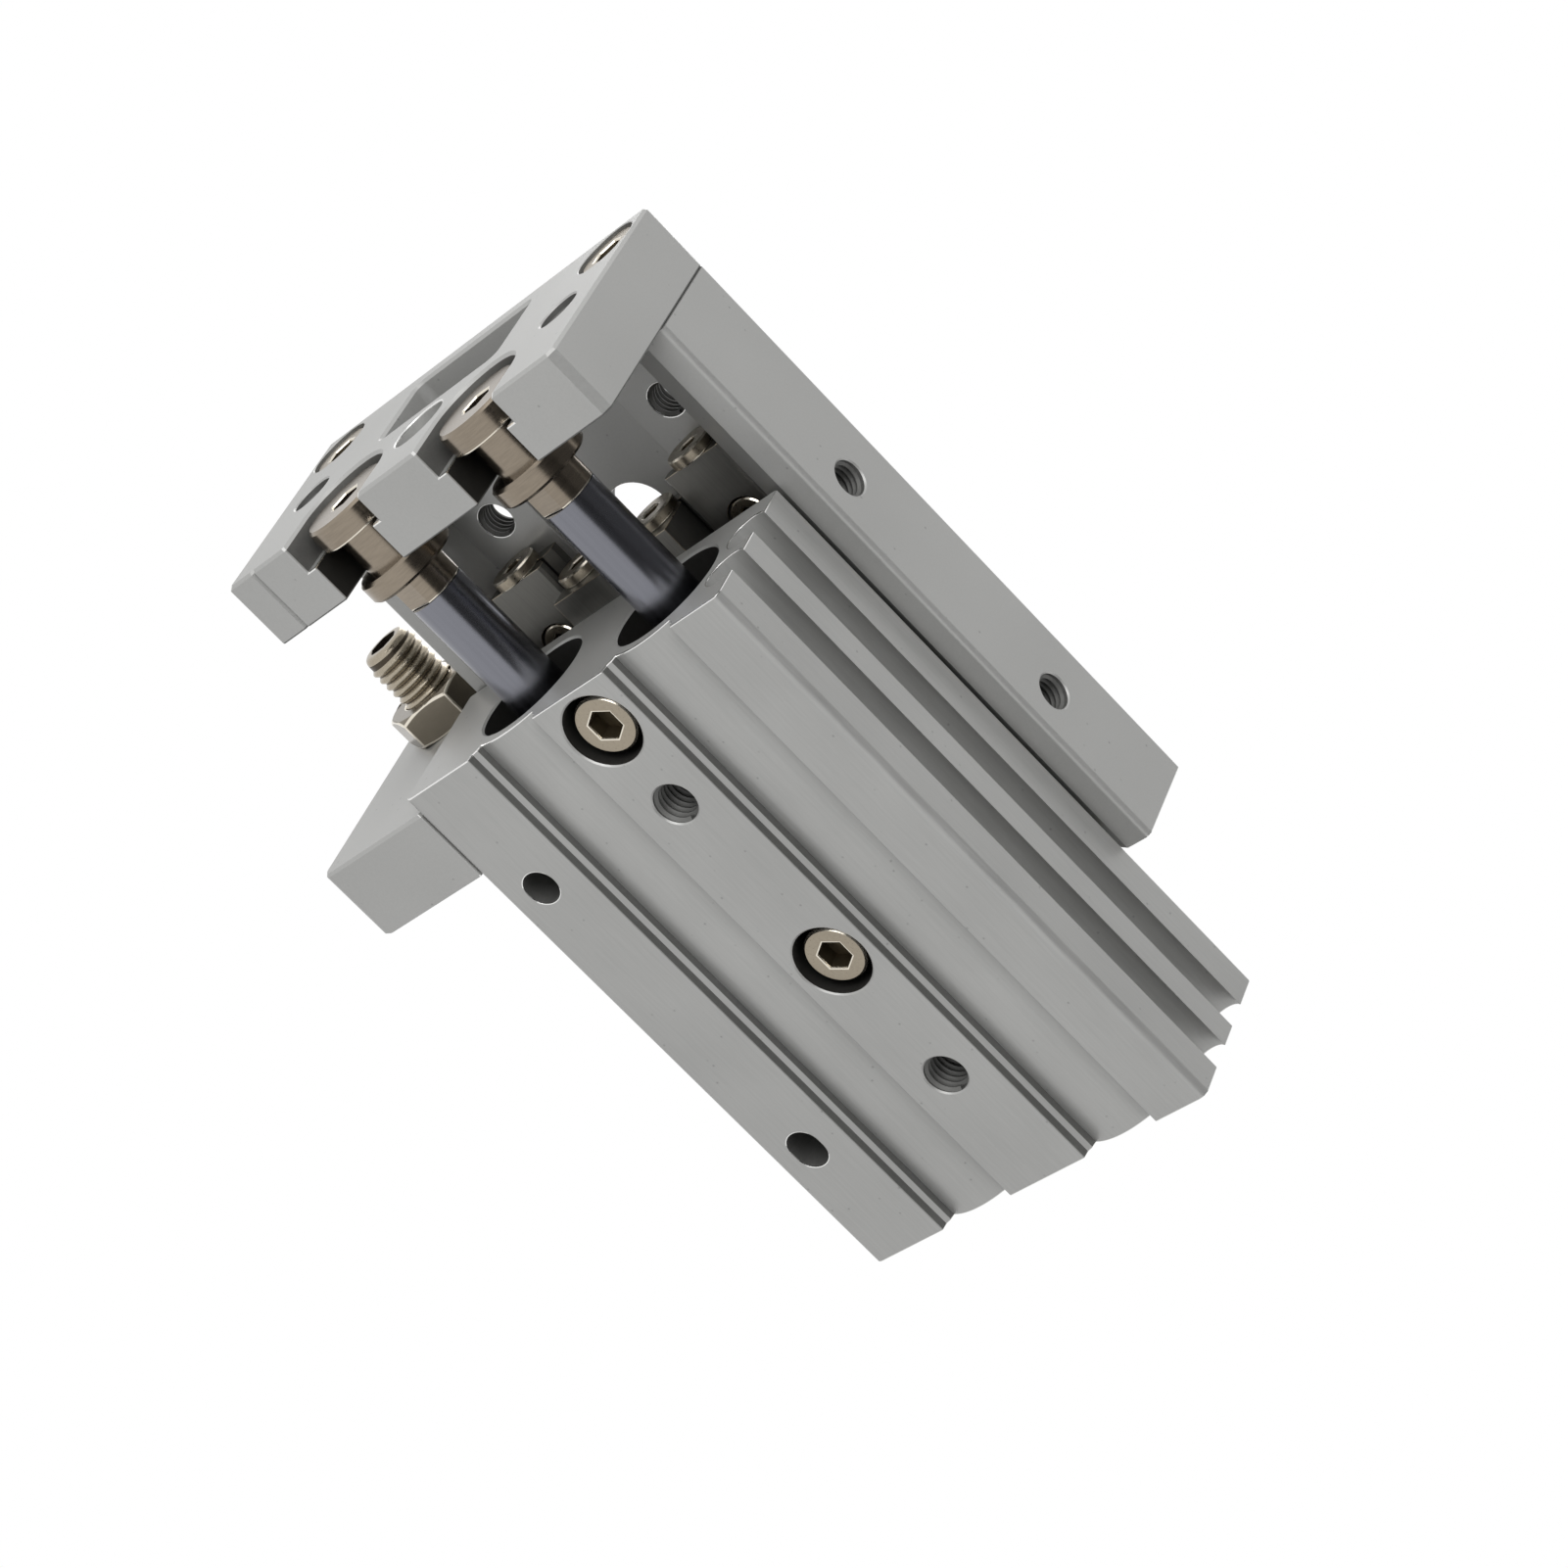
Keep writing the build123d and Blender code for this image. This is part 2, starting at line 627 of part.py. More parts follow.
def oring_cut(r, x):
    """Groove section for a rubber ring in a plug of radius r."""
    return [(x + oring_groove_len / 2, r), (x + oring_groove_len / 2, oring_groove_d / 2),
            (x - oring_groove_len / 2, oring_groove_d / 2), (x - oring_groove_len / 2, r)]


def make_rod_cover(y):
    r = bore_d / 2
    hole = rod_d / 2 + running
    seal0 = cover_x0 + rod_seal_back
    seal1 = seal0 + rod_seal_len
    boss = cover_x1 + cover_boss_len
    return turned([(boss, hole + edge), (boss, cover_boss_d / 2 - edge), (boss - edge, cover_boss_d / 2),
                   (cover_x1, cover_boss_d / 2), (cover_x1, r)] + oring_cut(r, cover_oring_x)
                  + [(cover_x0 + edge, r), (cover_x0, r - edge), (cover_x0, hole), (seal0, hole),
                     (seal0, rod_seal_d / 2), (seal1, rod_seal_d / 2), (seal1, hole),
                     (boss - edge, hole)], y, bore_z)


def make_rod_seal(y):
    """Lip seal filling its groove, thin lips towards the chamber."""
    hole = rod_d / 2 + running
    x0 = cover_x0 + rod_seal_back
    x1 = x0 + rod_seal_len
    out = rod_seal_d / 2
    middle = (hole + out) / 2
    return turned([(x1, hole + edge), (x1, out), (x0, out), (x0, middle + edge), (x0 + 3 * edge, middle),
                   (x0, middle - edge), (x0, hole), (x1 - edge, hole)], y, bore_z)


def make_head_cap(y):
    r = bore_d / 2
    dish = 0.3 * bore_d
    sink = 0.3 * cap_len
    return turned([(cap_x1, 0), (cap_x1, r - edge), (cap_x1 - edge, r)] + oring_cut(r, cap_oring_x)
                  + [(cap_x0, r), (cap_x0, dish + edge), (cap_x0 + edge, dish), (cap_x0 + sink, dish),
                     (cap_x0 + sink, 0)], y, bore_z)


def make_ring(y, x):
    """Inside retaining ring with two pierced ears at the gap."""
    outer = ring_groove_d / 2
    inner = outer - ring_width
    ear = 0.7 * ring_width
    ring = Circle(outer) - Circle(inner)
    for out in (-1, 1):
        ring += Pos(out * ring_gap * 0.62, inner - 0.1 * ring_width) * Circle(ear)
    ring -= Pos(0, outer) * Rectangle(ring_gap * 0.62, 3 * ring_width)
    for out in (-1, 1):
        ring -= Pos(out * ring_gap * 0.62, inner - 0.1 * ring_width) * Circle(ear / 2)
    ring = ring & Circle(outer)
    return Pos(0, y, bore_z) * prism_x(ring, x, x + ring_t)


def make_bracket():
    high = bracket_top - bracket_bottom
    outline = Pos(bracket_y + bracket_width / 2, bracket_bottom + high / 2) * Rectangle(bracket_width, high)
    outline = fillet(outline.vertices().group_by(Axis.X)[0], bracket_r)
    shape = prism_x(outline, bracket_x0, bracket_x1)
    shape = chamfer(shape.faces().filter_by(Axis.X).edges(), edge)
    shape -= cyl("x", adjust_d + 2 * running, adjust_y, adjust_z, bracket_x0, bracket_x1)
    for z in bracket_screw_z:
        sunk = M5["high"] + head_sink
        shape -= cyl("y", M5["head"] + 2 * head_relief, bracket_x, z, bracket_y, bracket_y + sunk)
        shape -= cyl("y", M5["d"] + 2 * screw_relief, bracket_x, z, bracket_y, -body_left)
    return shape


def make_adjusting_screw():
    r = adjust_d / 2
    c = 2 * edge
    shape = turned([(adjust_front, 0), (adjust_front, r - c), (adjust_front - c, r), (screw_rear + c, r),
                    (screw_rear, r - c), (screw_rear, 0)], adjust_y, adjust_z)
    socket = prism_x(hexagon(M5["af"]), adjust_front - adjust_socket, adjust_front + 1)
    hole = cyl("x", bumper_stem_d + 2 * running, adjust_y, adjust_z, screw_rear,
               screw_rear + bumper_stem + bumper_gap)
    return shape - Pos(0, adjust_y, adjust_z) * socket - hole


def make_lock_nut():
    shape = prism_x(hexagon(nut_af), bracket_x1, bracket_x1 + nut_t)
    corner = nut_af / math.sqrt(3)
    flat = nut_af / 2
    slope = (corner - flat) / math.sqrt(3)
    x0 = bracket_x1
    x1 = bracket_x1 + nut_t
    rim = turned([(x0, 0), (x0, flat), (x0 + slope, corner), (x1 - slope, corner), (x1, flat), (x1, 0)], 0, 0)
    bore = cyl("x", adjust_d + 2 * running, 0, 0, x0, x1)
    return Pos(0, adjust_y, adjust_z) * Rot(nut_turn, 0, 0) * ((shape & rim) - bore)


def make_bumper():
    x1 = screw_rear - bumper_gap
    x0 = x1 - bumper_t
    r = bumper_d / 2
    s = bumper_stem_d / 2
    return turned([(x0, 0), (x0, r - edge), (x0 + edge, r), (x1, r), (x1, s), (x1 + bumper_stem, s),
                   (x1 + bumper_stem, 0)], adjust_y, adjust_z)


def make_stop_block():
    outline = Pos(-table_half - stop_width / 2, (stop_bottom + stop_top) / 2) * Rectangle(
        stop_width, stop_top - stop_bottom)
    outline = fillet(outline.vertices().group_by(Axis.X)[0], bracket_r)
    shape = prism_x(outline, stop_x1 - stop_len, stop_x1)
    shape = chamfer(shape.faces().filter_by(Axis.X).edges(), edge)
    for x in stop_screw_x:
        y = -table_half - stop_width
        sunk = M4["high"] + head_sink
        shape -= cyl("y", M4["head"] + 2 * head_relief, x, stop_screw_z, y, y + sunk)
        shape -= cyl("y", M4["d"] + 2 * screw_relief, x, stop_screw_z, y, -table_half)
    return shape


write("body", [make_body()])
write("guide_block", [make_guide_block()])
write("table", [make_table()])
write("end_plate", [make_end_plate()])
write("adjuster_bracket", [make_bracket()])
write("adjusting_screw", [make_adjusting_screw()])
write("lock_nut", [make_lock_nut()])
write("adjuster_bumper", [make_bumper()])
write("stop_block", [make_stop_block()])

for name, side in (("left", -1), ("right", 1)):
    bore_y = side * bore_pitch / 2
    write(f"rail_{name}", [make_rail(side)])
    write(f"cage_{name}", [make_cage(side)])
    write(f"rollers_{name}", make_rollers(side))
    write(f"rod_{name}", [make_rod(bore_y)])
    write(f"rod_end_{name}", [make_rod_end(bore_y)])
    write(f"piston_{name}", [make_piston(bore_y)])
    write(f"magnet_holder_{name}", [make_magnet_holder(bore_y)])
    write(f"piston_magnet_{name}", [make_magnet(bore_y)])
    write(f"piston_seal_{name}", [make_piston_seal(bore_y)])
    write(f"rod_cover_{name}", [make_rod_cover(bore_y)])
    write(f"rod_seal_{name}", [make_rod_seal(bore_y)])
    write(f"cover_oring_{name}", [packing(bore_y, cover_oring_x, oring_groove_d / 2, bore_d / 2, oring_len)])
    write(f"cover_ring_{name}", [make_ring(bore_y, front_ring_x)])
    write(f"head_cap_{name}", [make_head_cap(bore_y)])
    write(f"cap_oring_{name}", [packing(bore_y, cap_oring_x, oring_groove_d / 2, bore_d / 2, oring_len)])
    write(f"cap_ring_{name}", [make_ring(bore_y, cap_x0 - ring_t)])

base_screw_len = body_h - base_head_sink - M5["high"] + block_thread_depth - edge
write("guide_block_screws", [towards("-z", x, 0, base_head_sink + M5["high"]) * cap_screw(M5, base_screw_len)
                             for x in block_screw_x])
y, z = end_screw_block
write("block_end_screws", [towards(axis, x, side * y, z) * cap_screw(M4, M4["d"] * 1.5 - edge, end_head_h)
                           for side in (-1, 1) for axis, x in (("+x", block_x1), ("-x", block_x0))])
y, z = end_screw_rail
write("rail_end_screws", [towards(axis, x, side * y, z) * cap_screw(M4, M4["d"] * 1.5 - edge, end_head_h)
                          for side in (-1, 1) for axis, x in (("+x", rail_front), ("-x", rail_rear))])
rail_screw_len = side_ceiling - rail_bottom - M3["high"] + rail_screw_bite - edge / 2
write("rail_screws", [towards("-z", x, side * rail_screw_y, rail_bottom + M3["high"])
                      * cap_screw(M3, rail_screw_len) for side in (-1, 1) for x in rail_screw_x])
y, z = plate_screw
plate_screw_seat = plate_front - M5["high"] - head_sink
plate_screw_len = plate_screw_seat - table_front + plate_screw_bite - edge
write("end_plate_screws", [towards("+x", plate_screw_seat, side * y, z) * cap_screw(M5, plate_screw_len)
                           for side in (-1, 1)])
bracket_seat = bracket_y + M5["high"] + head_sink
bracket_screw_len = -body_left - bracket_seat + bracket_screw_bite - edge
write("bracket_screws", [towards("-y", bracket_x, bracket_seat, z) * cap_screw(M5, bracket_screw_len)
                         for z in bracket_screw_z])
stop_seat = -table_half - stop_width + M4["high"] + head_sink
stop_screw_len = -table_half - stop_seat + stop_screw_bite - edge
write("stop_block_screws", [towards("-y", x, stop_seat, stop_screw_z) * cap_screw(M4, stop_screw_len)
                            for x in stop_screw_x])
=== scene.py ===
import json
import math

import bmesh
import bpy
from mathutils import Matrix, Vector

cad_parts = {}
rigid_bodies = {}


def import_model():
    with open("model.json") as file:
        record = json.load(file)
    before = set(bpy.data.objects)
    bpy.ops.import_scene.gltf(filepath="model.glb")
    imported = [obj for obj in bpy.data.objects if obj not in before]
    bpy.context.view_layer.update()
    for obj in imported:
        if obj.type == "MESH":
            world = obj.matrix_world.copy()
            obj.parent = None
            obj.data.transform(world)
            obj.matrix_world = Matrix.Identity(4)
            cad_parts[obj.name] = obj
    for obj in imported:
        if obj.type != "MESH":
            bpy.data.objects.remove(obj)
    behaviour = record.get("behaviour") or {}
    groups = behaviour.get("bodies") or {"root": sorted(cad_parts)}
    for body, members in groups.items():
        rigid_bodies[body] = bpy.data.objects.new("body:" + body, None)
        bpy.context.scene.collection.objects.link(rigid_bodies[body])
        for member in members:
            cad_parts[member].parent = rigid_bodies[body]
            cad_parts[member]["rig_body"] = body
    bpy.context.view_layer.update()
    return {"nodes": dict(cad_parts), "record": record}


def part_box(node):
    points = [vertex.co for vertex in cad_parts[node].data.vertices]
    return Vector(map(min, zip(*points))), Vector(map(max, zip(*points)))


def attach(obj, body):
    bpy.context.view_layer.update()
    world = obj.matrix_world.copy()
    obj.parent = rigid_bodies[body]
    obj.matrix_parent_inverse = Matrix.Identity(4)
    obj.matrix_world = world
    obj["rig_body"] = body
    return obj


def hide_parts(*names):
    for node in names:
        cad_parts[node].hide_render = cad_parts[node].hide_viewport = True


bl_info = {
    "name": "Pneumatic slide table",
    "version": (1, 0, 0),
    "blender": (4, 5, 0),
    "location": "View3D > Sidebar > Slide table",
    "description": "Dresses the slide table's solids with broken edges, threads and finishes",
    "category": "Object",
}

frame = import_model()
MM = 0.001
SIDES = ("left", "right")

# Places in millimetres, as in the solids
BORE_Y = 13
BORE_Z = 11.5
MOUNT_X = (-25, 25)
PORT_X = (20.75, -29.2)
BLOCK_SCREW_X = (38.1, -3.7)
SIDE_THREAD_X = (38.3, 0.3)
BRACKET_SCREW_Z = (6, 17)
STOP_SCREW_X = (5, -4.6)
PLATE_BACK = 69

# Radii in millimetres of a tapped hole's wall and of its thread's crest
THREAD_RADII = {"M5": (2.54, 2.12), "M6": (3.04, 2.55)}

# Point in metres that the lamps and cards face
LOOK_AT = Vector((20 * MM, 0, 15 * MM))


def linear(code):
    """sRGB hex colour as linear RGB."""
    parts = [int(code[i:i + 2], 16) / 255 for i in (1, 3, 5)]
    return tuple(c / 12.92 if c <= 0.04045 else ((c + 0.055) / 1.055) ** 2.4 for c in parts)


def size(text, default, description):
    return bpy.props.FloatProperty(name=text, description=description, default=default * MM,
                                   min=0.0, unit="LENGTH", precision=5)


def colour(text, code, description):
    return bpy.props.FloatVectorProperty(name=text, description=description, size=3,
                                         default=linear(code), subtype="COLOR", min=0.0, max=1.0)


class SlideTableSizes(bpy.types.PropertyGroup):
    """Sizes of what the scene adds to the solids."""

    edge: size("Broken edge", 0.16, "Width of the bright broken edges of milled aluminium")
    fine_edge: size("Fine edge", 0.1, "Width of the broken edges of steel parts")
    plate_edge: size("Plate edge", 0.24, "Width of the broken edges of the end plate")
    head_edge: size("Head edge", 0.25, "Width of the chamfered rims of screw heads and of the nut")
    wall_step: size("Wall step", 0.33, "Depth of the step in the walls of the relieved strips")
    port_pitch: size("M5 pitch", 0.8, "Thread pitch of the M5 holes")
    mount_pitch: size("M6 pitch", 1.0, "Thread pitch of the M6 holes")
    adjust_pitch: size("M8 pitch", 1.25, "Thread pitch of the adjusting screw")


class SlideTableColours(bpy.types.PropertyGroup):
    """Colours of the finishes."""

    anodised: colour("Anodised", "#ABABA9", "Clear matte anodised aluminium")
    # Painted highlight: the broken edges are painted much paler than the anodised faces
    edge: colour("Cut edge", "#E4E4E2", "Freshly broken aluminium edge")
    # Painted shade: hole walls, their threads, seams and steep strip walls are painted this darker grey
    bore: colour("Bored wall", "#6A6A68", "Anodised walls of drilled holes")
    gap: colour("Gap wall", "#1F1E1C", "Walls of counterbores, slots and bores that stay in shade")
    guide: colour("Guide steel", "#6E6D69", "Hardened and ground guide steel")
    nickel: colour("Nickel", "#988F80", "Nickel plated screws")
    # Painted highlight: rims and chamfers of heads, nut and rod ends are painted this bright colour
    rim: colour("Bright rim", "#E0D9CB", "Polished rims of nickel plated heads")
    # Painted shade: the walls of the hexagon sockets are painted this dark colour
    socket: colour("Socket", "#5A5140", "Punched walls of the hexagon sockets")
    rod: colour("Rod", "#7C7D84", "Polished hard chrome")
    rod_end: colour("Rod end", "#897F72", "Plated rod ends")
    thread: colour("Adjusting screw", "#A59C8C", "Plated rolled thread")
    # Painted shade: the roots between the thread crests are painted this dark colour
    valley: colour("Thread root", "#4A4339", "Root of the rolled thread")
    nut: colour("Lock nut", "#7A7367", "Plated lock nut")
    # Painted shade: the plugs deep inside the bores are painted this dark grey
    dark: colour("Recess", "#3A3936", "Turned plugs and rings inside the bores")
    rubber: colour("Rubber", "#1E1D1C", "Nitrile seals")
    urethane: colour("Urethane", "#7A6A45", "Bumper of the adjusting screw")
    resin: colour("Cage resin", "#2A2A2A", "Moulded roller cages")
    floor: colour("Floor", "#E9E9E7", "Pale studio floor")


def sizes():
    return bpy.context.scene.slide_table_sizes


def colours():
    return bpy.context.scene.slide_table_colours


# Materials

def add(tree, kind, inputs=None, **settings):
    """One shader node with its settings; inputs hold values or (node, output) links."""
    made = tree.nodes.new(kind)
    for key, value in settings.items():
        setattr(made, key, value)
    for key, value in (inputs or {}).items():
        if isinstance(value, tuple) and isinstance(value[0], bpy.types.Node):
            tree.links.new(value[0].outputs[value[1]], made.inputs[key])
        else:
            made.inputs[key].default_value = value
    return made


def shades(tree, fac, low, high, start=0.35, end=0.65):
    """Colour ramp between two colours driven by a pattern."""
    ramp = add(tree, "ShaderNodeValToRGB", {"Fac": fac})
    ramp.color_ramp.elements[0].position = start
    ramp.color_ramp.elements[0].color = (*low, 1)
    ramp.color_ramp.elements[1].position = end
    ramp.color_ramp.elements[1].color = (*high, 1)
    return ramp


def scaled(rgb, k):
    return tuple(min(1.0, c * k) for c in rgb)


def blank(name):
    found = bpy.data.materials.get(name)
    if found:
        return found, None
    made = bpy.data.materials.new(name)
    made.use_nodes = True
    made.node_tree.nodes.clear()
    return made, made.node_tree


def finish_with(tree, surface):
    add(tree, "ShaderNodeOutputMaterial", {"Surface": surface})


def grained(name, rgb, metallic, rough, grain_mm, depth, spread=0.06, stretch=(1, 1, 1), pits=0.0):
    """Metal or moulded surface whose tone, roughness and height follow one grain of a real size."""
    made, tree = blank(name)
    if tree is None:
        return made
    where = add(tree, "ShaderNodeTexCoord")
    turned = add(tree, "ShaderNodeMapping", {"Vector": (where, "Object"), "Scale": stretch})
    grain = add(tree, "ShaderNodeTexNoise", {"Vector": (turned, "Vector"), "Scale": 1 / (grain_mm * MM),
                                             "Detail": 3.0, "Roughness": 0.6})
    cloud = add(tree, "ShaderNodeTexNoise", {"Vector": (where, "Object"), "Scale": 1 / (24 * MM),
                                             "Detail": 2.0})
    mix = add(tree, "ShaderNodeMath", {0: (grain, "Fac"), 1: (cloud, "Fac")}, operation="ADD")
    half = add(tree, "ShaderNodeMath", {0: (mix, "Value"), 1: 0.5}, operation="MULTIPLY")
    tone = shades(tree, (half, "Value"), scaled(rgb, 1 - spread), scaled(rgb, 1 + spread))
    spots = add(tree, "ShaderNodeTexVoronoi", {"Vector": (where, "Object"), "Scale": 1 / (2.6 * MM)})
    spot = add(tree, "ShaderNodeMapRange", {"Value": (spots, "Distance"), "From Min": 0.02, "From Max": 0.09,
                                            "To Min": pits, "To Max": 0.0})
    pitted = add(tree, "ShaderNodeMix", {"Factor": (spot, "Result"), "A": (tone, "Color"),
                                         "B": (*scaled(rgb, 0.35), 1)}, data_type="RGBA")
    dull = add(tree, "ShaderNodeMapRange", {"Value": (grain, "Fac"), "From Min": 0.3, "From Max": 0.7,
                                            "To Min": rough * 0.88, "To Max": rough * 1.12})
    surface = {"Base Color": (pitted, "Result"), "Metallic": metallic, "Roughness": (dull, "Result")}
    if depth:
        bump = add(tree, "ShaderNodeBump", {"Height": (grain, "Fac"), "Strength": 0.35, "Distance": depth * MM})
        surface["Normal"] = (bump, "Normal")
    shader = add(tree, "ShaderNodeBsdfPrincipled", surface)
    finish_with(tree, (shader, "BSDF"))
    return made


def anodised():
    # Blasted and clear anodised: an even pale grey that scatters light, with rare dark specks
    return grained("anodised_aluminium", colours().anodised, 0.45, 0.42, 0.3, 0.02, 0.05, pits=0.5)


def extruded():
    # Anodised extrusion: the same grey with faint die lines along the stroke
    return grained("extruded_anodised_aluminium", colours().anodised, 0.45, 0.42, 0.4, 0.02, 0.07,
                   (0.05, 1, 1), 0.5)


def cut_edge():
    # Broken edge of anodised aluminium: a painted highlight, a thin pale line
    return grained("broken_edge_painted_highlight", colours().edge, 1.0, 0.24, 0.3, 0.005, 0.03)


def painted_recess_shade():
    # Drilled and anodised wall: the same metal, dulled by the drill, and painted darker as painted shade in the
    # recess; the same painted shade goes on tapped threads, seams and steep strip walls
    return grained("drilled_wall_painted_shade", colours().bore, 0.5, 0.5, 0.3, 0.01, 0.12)


def shaded_wall():
    # Wall of a narrow gap: painted shade, close to black
    return grained("gap_wall_painted_shade", colours().gap, 0.3, 0.6, 0.3, 0, 0.2)


def guide_steel():
    # Hardened steel ground along the track: dark, with fine lines along the stroke
    return grained("ground_guide_steel", colours().guide, 0.9, 0.38, 0.25, 0.01, 0.12, (0.03, 1, 1))


def nickel():
    # Nickel plated screws: warm grey metal with a soft shine
    return grained("nickel_plated_steel", colours().nickel, 1.0, 0.3, 0.4, 0, 0.1)


def rim():
    # Rim of a plated head: a painted highlight, the brightest metal
    return grained("nickel_rim_painted_highlight", colours().rim, 1.0, 0.2, 0.3, 0, 0.05)


def socket_shade():
    # Walls of a punched hexagon socket: painted shade makes them dark, as the recess stays in shade
    return grained("socket_wall_painted_shade", colours().socket, 0.8, 0.45, 0.3, 0.02, 0.2)


def chrome():
    # Ground and hard chromed rod: soft bands and faint streaks along its length
    return grained("hard_chrome", colours().rod, 1.0, 0.24, 0.7, 0, 0.08, (0.02, 1, 1))


def plated():
    # Turned and plated rod end: warm metal with turning marks round its axis
    return grained("plated_turned_steel", colours().rod_end, 1.0, 0.22, 0.25, 0, 0.14, (1, 0.1, 0.1))


def plated_nut():
    # Pressed and plated nut: darker than the screws, with a soft shine
    return grained("plated_pressed_steel", colours().nut, 1.0, 0.24, 0.4, 0, 0.08)


def thread_steel():
    # Crest of a rolled and plated thread: warm metal with a soft shine
    return grained("plated_rolled_thread", colours().thread, 1.0, 0.26, 0.3, 0, 0.12)


def thread_root():
    # Root of the rolled thread: painted shade, dark between the crests
    return grained("thread_root_painted_shade", colours().valley, 0.9, 0.4, 0.3, 0, 0.15)


def dark_metal():
    # Turned plug seen deep inside the bore: dull, and painted dark as painted shade
    return grained("turned_plug_painted_shade", colours().dark, 0.7, 0.45, 0.3, 0.01, 0.1)


def rubber():
    # Moulded nitrile: near black with a faint sheen
    return grained("moulded_nitrile", colours().rubber, 0.0, 0.6, 0.2, 0.01, 0.1)


def urethane():
    # Cast urethane: dull amber
    return grained("cast_urethane", colours().urethane, 0.0, 0.45, 0.4, 0.01, 0.08)


def resin():
    # Moulded cage resin: black with a slight gloss
    return grained("moulded_resin", colours().resin, 0.0, 0.4, 0.3, 0.01, 0.1)


# Geometry helpers

def paint(obj, *materials):
    if len(obj.data.materials):
        obj.data.materials.clear()
    for material in materials:
        obj.data.materials.append(material)


def smooth(bm, limit=25):
    """Smooth faces, with every edge sharper than the limit kept crisp."""
    for face in bm.faces:
        face.smooth = True
    for edge in bm.edges:
        if len(edge.link_faces) == 2 and edge.calc_face_angle() > math.radians(limit):
            edge.smooth = False


def weigh(obj):
    """Lets large flat faces set the shading, so that broken edges stay narrow."""
    weighted = obj.modifiers.new("flat_faces", "WEIGHTED_NORMAL")
    weighted.keep_sharp = True
    weighted.weight = 80


def placed(name, data):
    """New object in the scene."""
    obj = bpy.data.objects.new(name, data)
    bpy.context.scene.collection.objects.link(obj)
    return obj


def mesh_object(name, bm):
    """New object in the scene from a bmesh, which is used up."""
    mesh = bpy.data.meshes.new(name)
    bm.to_mesh(mesh)
    bm.free()
    return placed(name, mesh)


def publish(name, bm, body, slot, *materials):
    """Makes a bmesh into a finished piece that rides on a body."""
    obj = mesh_object(name, bm)
    paint(obj, *materials)
    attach(obj, body)
    return obj


def body_of(node):
    return frame["nodes"][node]["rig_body"]


def slot_of(node):
    for part in frame["record"]["subparts"]:
        if part["node"] == node:
            return part["material_slot"]
    raise RuntimeError(f"no material slot for {node}")


def inside(point, hole):
    """True where a point in metres lies on the wall or floor of a hole given in millimetres."""
    axis, u, v, radius, low, high, *arch = hole
    along = "xyz".index(axis)
    across = [point[i] / MM for i in range(3) if i != along]
    drop = max(across[1] - v, 0) if arch else across[1] - v
    reach = math.hypot(across[0] - u, drop)
    return low < point[along] / MM < high and reach < radius + 0.02


def merged(node):
    """A node's mesh with its doubles joined and its flat facets made into whole faces."""
    bm = bmesh.new()
    bm.from_mesh(frame["nodes"][node].data)
    bmesh.ops.remove_doubles(bm, verts=bm.verts, dist=0.002 * MM)
    bmesh.ops.dissolve_limit(bm, angle_limit=math.radians(1), verts=bm.verts, edges=bm.edges,
                             use_dissolve_boundaries=False, delimit=set())
    return bm


def dressed(node, width, base, edge, walls=(), seam=None, shape=None, milled=False, cone=None):
    """Finished copy of a node: broken edges get a painted highlight and hole walls a painted shade, each in its
    own finish.

    On milled pieces the edges along the stroke keep the base finish; only the cut ones get the painted highlight.
    The axis of a screw lets the chamfers of its head take the same painted highlight as its broken edges.
    """
    bm = merged(node)
    steep = shape(bm) if shape else ()
    # Steep faces take the first wall finish as painted shade; head chamfers take the painted highlight
    for face in bm.faces:
        chamfer = cone is not None and 0.6 < abs(face.normal["xyz".index(cone)]) < 0.8
        face.material_index = 2 if face in steep else 1 if chamfer else 0
        # Faces on hole walls take the darker wall finishes: painted shade
        for number, (_, holes) in enumerate(walls, 2):
            if any(inside(face.calc_center_median(), hole) for hole in holes):
                face.material_index = number
    sharp = [e for e in bm.edges if len(e.link_faces) == 2 and e.is_convex
             and e.calc_face_angle() > math.radians(50)]
    made = bmesh.ops.bevel(bm, geom=sharp, offset=width, offset_type="OFFSET", affect="EDGES",
                           segments=2, profile=0.5, material=-1, clamp_overlap=False, loop_slide=False)
    bm.normal_update()
    for face in made["faces"]:
        # Bevels on the seam take the first wall finish, a painted shade that draws a dark line between parts; the
        # others the painted highlight
        on_seam = seam is not None and abs(face.calc_center_median().x / MM - seam) < 0.3
        drawn = milled and abs(face.normal.x) < 0.2
        face.material_index = 2 if on_seam else 0 if drawn else 1
    smooth(bm)
    obj = publish("dressed_" + node, bm, body_of(node), slot_of(node), base, edge,
                  *(material for material, _ in walls))
    weigh(obj)
    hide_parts(node)
    return obj


def plain(node, material):
    """A solid that keeps its own mesh and gets its finish."""
    paint(frame["nodes"][node], material)


